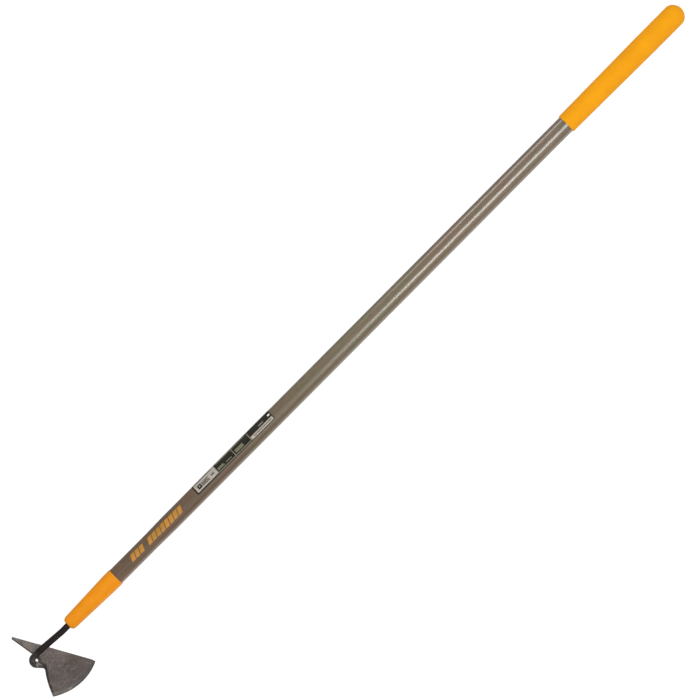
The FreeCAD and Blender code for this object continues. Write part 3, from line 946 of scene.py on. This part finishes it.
def label_rectangles():
    """The printed panels, later ones over earlier ones, in millimetres along and round the handle."""
    chance = random.Random(11)
    height = HANDLE_RADIUS * LABEL_SPAN / MM
    length = LABEL_LENGTH / MM
    panels = [
        (0, length, 0, height, BLACK),
        (2.4, 48, 2.3, height, SILVER),
        (7.0, 14.5, 5.0, 12.4, DARK),
        (9.7, 11.8, 7.4, 10.0, SILVER),
        (48, 121, 1.6, 2.5, GREY),
        (86, 87.2, 1.6, height - 1, GREY),
        (121, 122.2, 1.6, height - 1, GREY),
        (123, length - 1.6, 1.2, 6.6, SILVER),
        (128, 168, 3.3, 4.3, DARK),
        (165.5, 170.0, 10.6, 13.4, WHITE),
    ]
    panels += rows(15, 34, 4.6, 12.0, 4, DARK, chance)
    panels += rows(36, 44, 6.5, 10.5, 2, DARK, chance)
    panels += rows(50, 66, 4.5, 9.0, 3, GREY, chance)
    panels += rows(68, 84, 5.2, 7.0, 1, GREY, chance)
    panels += rows(90, 108, 4.5, 10.5, 3, GREY, chance)
    panels += rows(144, 158, 9.0, 12.0, 2, GREY, chance)
    panels += rows(52, 118, 17, 36, 9, GREY, chance)
    panels += rows(4, 44, 17, 36, 8, DARK, chance)
    return panels


def with_steps(edges, step):
    """Sorted break points, with extra ones where a gap is wider than the step."""
    places = sorted({round(edge, 3) for edge in edges})
    result = []
    for low, high in zip(places, places[1:]):
        count = math.ceil((high - low) / step)
        result += [low + (high - low) * k / count for k in range(count)]
    return result + [places[-1]]


def ink_at(panels, along, up):
    """The ink of the last panel that covers a place."""
    found = BLACK
    for start, end, low, high, ink in panels:
        if start <= along <= end and low <= up <= high:
            found = ink
    return found


def make_label():
    """The thin printed film, wrapped round the handle, with its inks as faces."""
    panels = label_rectangles()
    across = with_steps([side for panel in panels for side in panel[2:4]], 1.6)
    lengthwise = with_steps([side for panel in panels for side in panel[0:2]], 8.0)
    bm = bmesh.new()
    skins = []
    for radius in (HANDLE_RADIUS + LABEL_THICKNESS, HANDLE_RADIUS + 0.01 * MM):
        skin = []
        for along in lengthwise:
            line = []
            for up in across:
                turn = LABEL_FROM + up * MM / HANDLE_RADIUS
                place = (LABEL_START + along * MM, radius * math.sin(turn), radius * math.cos(turn))
                line.append(bm.verts.new(on_axis(*place)))
            skin.append(line)
        skins.append(skin)
    last_row, last_column = len(lengthwise) - 1, len(across) - 1
    for i in range(last_row):
        for j in range(last_column):
            for skin in skins:
                face = bm.faces.new((skin[i][j], skin[i + 1][j], skin[i + 1][j + 1], skin[i][j + 1]))
                middle = ((lengthwise[i] + lengthwise[i + 1]) / 2, (across[j] + across[j + 1]) / 2)
                face.material_index = ink_at(panels, *middle) if skin is skins[0] else DARK
    border = [(i, 0) for i in range(last_row)] + [(last_row, j) for j in range(last_column)]
    border += [(i, last_column) for i in range(last_row, 0, -1)]
    border += [(0, j) for j in range(last_column, 0, -1)]
    for (i, j), (m, n) in zip(border, border[1:] + border[:1]):
        outer, inner = skins
        face = bm.faces.new((outer[i][j], outer[m][n], inner[m][n], inner[i][j]))
        face.material_index = DARK
    inks = [
        film_finish("label_silver", linear(176, 167, 156), 0.2, 0.12),
        film_finish("label_black", linear(30, 28, 18), 0.0, 0.22),
        film_finish("label_grey", linear(136, 132, 108), 0.0, 0.12),
        film_finish("label_white", linear(236, 232, 222), 0.0, 0.05),
        film_finish("label_dark", linear(24, 20, 14), 0.0, 0.15),
    ]
    return add_piece("printed_label", bm, inks, "label")


# ---- the scene: floor, lights and camera ----

FLOOR_HALF = 45.0
FLOOR_GLOW = 0.82
FLOOR_SHADES = (0.34, 0.36)
FLAG_DISTANCE = 3.2
FLAG_HEIGHT = 2.4
FLAG_HALF = 3.0
SURROUND = 1.0
SURROUND_MIRRORED = 0.25        # its strength in shiny surfaces
LIGHT_BOXES = (                 # name, the row frame's x, degrees, distance, width, height, radiance
    ("key_box", 0.40, -16, 2.0, 0.70, 0.72, 13.2),
    ("low_box", 0.52, 76, 2.2, 0.72, 0.60, 6.6),
)


def staged_card(name, corners, material):
    """A flat card that belongs to the staging, and that nothing shiny mirrors."""
    bm = bmesh.new()
    bm.faces.new([bm.verts.new(corner) for corner in corners])
    card = link_mesh(name, bm, material)
    card.visible_glossy = False
    return card


def make_floor():
    """A wide white floor that glows a little, so that it stays white round the hoe."""
    glow = {"Emission_Color": (1.0, 1.0, 1.0, 1), "Emission_Strength": FLOOR_GLOW}
    finish = Finish("white_floor", Roughness=0.9, Specular_IOR_Level=0.0, **glow)
    stops = [(place, (grey, grey, grey, 1)) for place, grey in zip((0.3, 0.7), FLOOR_SHADES)]
    material = finish.use(Base_Color=finish.ramp(finish.noise(3, detail=3), stops))
    signs = ((-1, -1), (1, -1), (1, 1), (-1, 1))
    corners = [(x * FLOOR_HALF, y * FLOOR_HALF, cad_box[0].z) for x, y in signs]
    staged_card("floor", corners, material)


def make_flags():
    """Two dark cards beyond the lights, along the handle, that darken its sides."""
    finish = Finish("flag_black", Roughness=0.9, Specular_IOR_Level=0.0)
    material = finish.use(Base_Color=linear(8, 8, 8))
    low = cad_box[0].z
    high = low + FLAG_HEIGHT
    for name, y in (("flag_spike_side", FLAG_DISTANCE), ("flag_far_side", -FLAG_DISTANCE)):
        corners = ((-FLAG_HALF, y, low), (FLAG_HALF, y, low), (FLAG_HALF, y, high), (-FLAG_HALF, y, high))
        flag = staged_card(name, corners, material)
        flag.visible_camera = False


def area_light(name, place, aim, width, height, radiance):
    """A soft box of a given brightness that faces a point. Its width runs along the handle."""
    data = bpy.data.lights.new(name, "AREA")
    data.shape = "RECTANGLE"
    data.size = width
    data.size_y = height
    data.energy = radiance * math.pi * width * height
    light = bpy.data.objects.new(name, data)
    back = (place - aim).normalized()
    side = Vector((1, 0, 0))
    side = (side - back * side.dot(back)).normalized()
    up = back.cross(side)
    turn = Matrix((side, up, back)).transposed().to_4x4()
    light.matrix_world = Matrix.Translation(place) @ turn
    light.visible_camera = False
    bpy.context.collection.objects.link(light)
    return light


def from_handle(x, angle, distance):
    """A place at an angle from straight up towards the spike's side, round the handle's axis."""
    turn = math.radians(angle)
    return Vector((x, AXIS.y + distance * math.sin(turn), AXIS.z + distance * math.cos(turn)))


def make_lights():
    """Two soft boxes at the grip's half of the handle, a card on the floor, and a white surround."""
    for name, x, angle, distance, width, height, radiance in LIGHT_BOXES:
        place = from_handle(x, angle, distance)
        area_light(name, place, Vector((x, AXIS.y, AXIS.z)), width, height, radiance)
    card_width = 1.6
    card = Vector((0, AXIS.y - card_width / 2 - 20 * MM, cad_box[0].z + 2 * MM))
    shine = area_light("floor_card", card, card + Vector((0, 0, 1)), 3.0, card_width, 0.8)
    shine.visible_diffuse = False

    world = bpy.data.worlds.new("white_surround")
    bpy.context.scene.world = world
    world.use_nodes = True
    nodes = world.node_tree.nodes
    links = world.node_tree.links
    path = nodes.new("ShaderNodeLightPath")
    strength = nodes.new("ShaderNodeMapRange")
    links.new(path.outputs["Is Glossy Ray"], strength.inputs["Value"])
    strength.inputs["To Min"].default_value = SURROUND
    strength.inputs["To Max"].default_value = SURROUND_MIRRORED
    links.new(strength.outputs["Result"], nodes["Background"].inputs["Strength"])
    nodes["Background"].inputs["Color"].default_value = (1.0, 1.0, 1.0, 1)


def make_camera():
    """High above the hoe, looking straight down, with the handle running up to the right."""
    height = 8.0
    view_width = 1.1116
    middle = on_axis(0.62523, -0.0096, 0)
    handle_in_view = math.radians(45.16)
    data = bpy.data.cameras.new("camera")
    data.sensor_width = 36.0
    data.lens = data.sensor_width * height / view_width
    data.clip_end = 100.0
    camera = bpy.data.objects.new("camera", data)
    camera.location = middle + Vector((0, 0, height))
    camera.rotation_euler = (0, 0, -handle_in_view)
    bpy.context.collection.objects.link(camera)
    bpy.context.scene.camera = camera
    bpy.context.scene.view_settings.view_transform = "Standard"


make_camera()
make_lights()
make_floor()
make_flags()
make_shaft()
make_grip()
make_ferrule()
make_neck()
make_weld()
make_blade()
make_label()
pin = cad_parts["ferrule_pin"]
pin.data.materials[0] = pin_finish()
